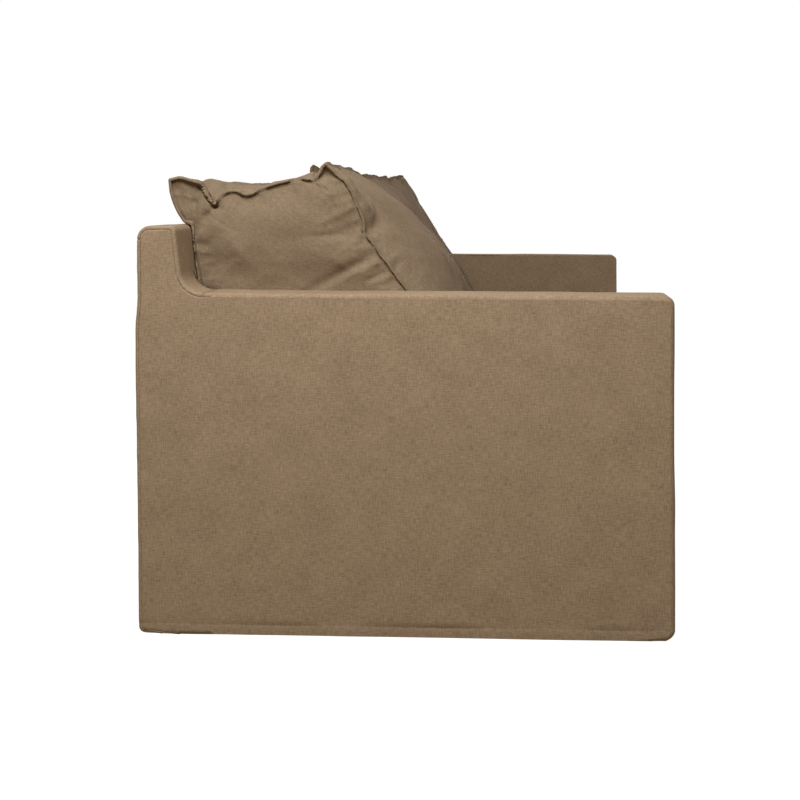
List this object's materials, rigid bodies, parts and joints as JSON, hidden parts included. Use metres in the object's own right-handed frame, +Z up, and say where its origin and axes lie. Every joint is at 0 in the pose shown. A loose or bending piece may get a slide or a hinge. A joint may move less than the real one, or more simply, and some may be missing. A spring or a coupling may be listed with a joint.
{
  "type": "slipcovered sofa",
  "caption": "Straight sofa with thin square arms, a fitted slipcover down to the floor, and loose boxed seat and back cushions that stand above a low back.",
  "frame": {"origin": "on the floor, in the middle of the sofa's width and depth", "axes": "+X along the sofa's width, +Z up, and the front faces -Y"},
  "size_m": [2.2, 1.05, 0.968],
  "materials": {
    "slipcover_linen": "plain woven linen, matt, soft wrinkles",
    "cushion_linen": "plain woven linen over a soft filling, matt",
    "frame_beech": "planed, unfinished",
    "frame_spruce": "sawn, unfinished",
    "leg_beech": "turned down to a square taper, oiled",
    "spring_steel": "oil-tempered wire",
    "elastic_web": "woven elastic web",
    "wadding": "bonded polyester wadding and foam",
    "dust_cambric": "non-woven dust cloth",
    "glide_nylon": "moulded nylon"
  },
  "bodies": {
    "sofa_body": {"cover_side_right": "slipcover_linen", "cover_side_left": "slipcover_linen", "cover_arm_right": "slipcover_linen", "cover_arm_left": "slipcover_linen", "cover_inside_back": "slipcover_linen", "cover_outside_back": "slipcover_linen", "cover_seat_deck": "slipcover_linen", "cover_front_border": "slipcover_linen", "seat_rail_front": "frame_beech", "seat_rail_rear": "frame_beech", "seat_rail_centre": "frame_beech", "seat_rail_right": "frame_beech", "seat_rail_left": "frame_beech", "arm_post_right": "frame_beech", "arm_post_left": "frame_beech", "arm_rail_right": "frame_beech", "arm_rail_left": "frame_beech", "back_post_right": "frame_beech", "back_post_left": "frame_beech", "back_top_rail": "frame_beech", "back_tack_rail": "frame_spruce", "back_stile_left": "frame_spruce", "back_stile_right": "frame_spruce", "corner_block_front_right": "frame_spruce", "corner_block_front_left": "frame_spruce", "corner_block_rear_right": "frame_spruce", "corner_block_rear_left": "frame_spruce", "leg_front_left": "leg_beech", "glide_front_left": "glide_nylon", "leg_front_right": "leg_beech", "glide_front_right": "glide_nylon", "leg_rear_left": "leg_beech", "glide_rear_left": "glide_nylon", "leg_rear_right": "leg_beech", "glide_rear_right": "glide_nylon", "leg_centre": "leg_beech", "glide_centre": "glide_nylon", "seat_spring_1": "spring_steel", "seat_spring_2": "spring_steel", "seat_spring_3": "spring_steel", "seat_spring_4": "spring_steel", "seat_spring_5": "spring_steel", "seat_spring_6": "spring_steel", "seat_spring_7": "spring_steel", "seat_spring_8": "spring_steel", "seat_spring_9": "spring_steel", "seat_deck_pad": "wadding", "back_web_low": "elastic_web", "back_web_high": "elastic_web", "arm_pad_right": "wadding", "arm_pad_left": "wadding", "back_pad": "wadding", "dust_cover": "dust_cambric"},
    "seat_cushion_left": {"seat_cushion_left": "cushion_linen"},
    "seat_cushion_centre": {"seat_cushion_centre": "cushion_linen"},
    "seat_cushion_right": {"seat_cushion_right": "cushion_linen"},
    "back_cushion_left": {"back_cushion_left": "cushion_linen"},
    "back_cushion_centre": {"back_cushion_centre": "cushion_linen"},
    "back_cushion_right": {"back_cushion_right": "cushion_linen"}
  },
  "joints": [
    {"name": "seat_left_slide", "type": "slide", "parent": "sofa_body", "child": "seat_cushion_left", "axis": [0, -1, 0], "range_m": [0, 0.35]},
    {"name": "back_left_lift", "type": "slide", "parent": "sofa_body", "child": "back_cushion_left", "axis": [0, 0, 1], "range_m": [0, 0.3]},
    {"name": "seat_centre_slide", "type": "slide", "parent": "sofa_body", "child": "seat_cushion_centre", "axis": [0, -1, 0], "range_m": [0, 0.35]},
    {"name": "back_centre_lift", "type": "slide", "parent": "sofa_body", "child": "back_cushion_centre", "axis": [0, 0, 1], "range_m": [0, 0.3]},
    {"name": "seat_right_slide", "type": "slide", "parent": "sofa_body", "child": "seat_cushion_right", "axis": [0, -1, 0], "range_m": [0, 0.35]},
    {"name": "back_right_lift", "type": "slide", "parent": "sofa_body", "child": "back_cushion_right", "axis": [0, 0, 1], "range_m": [0, 0.3]}
  ]
}
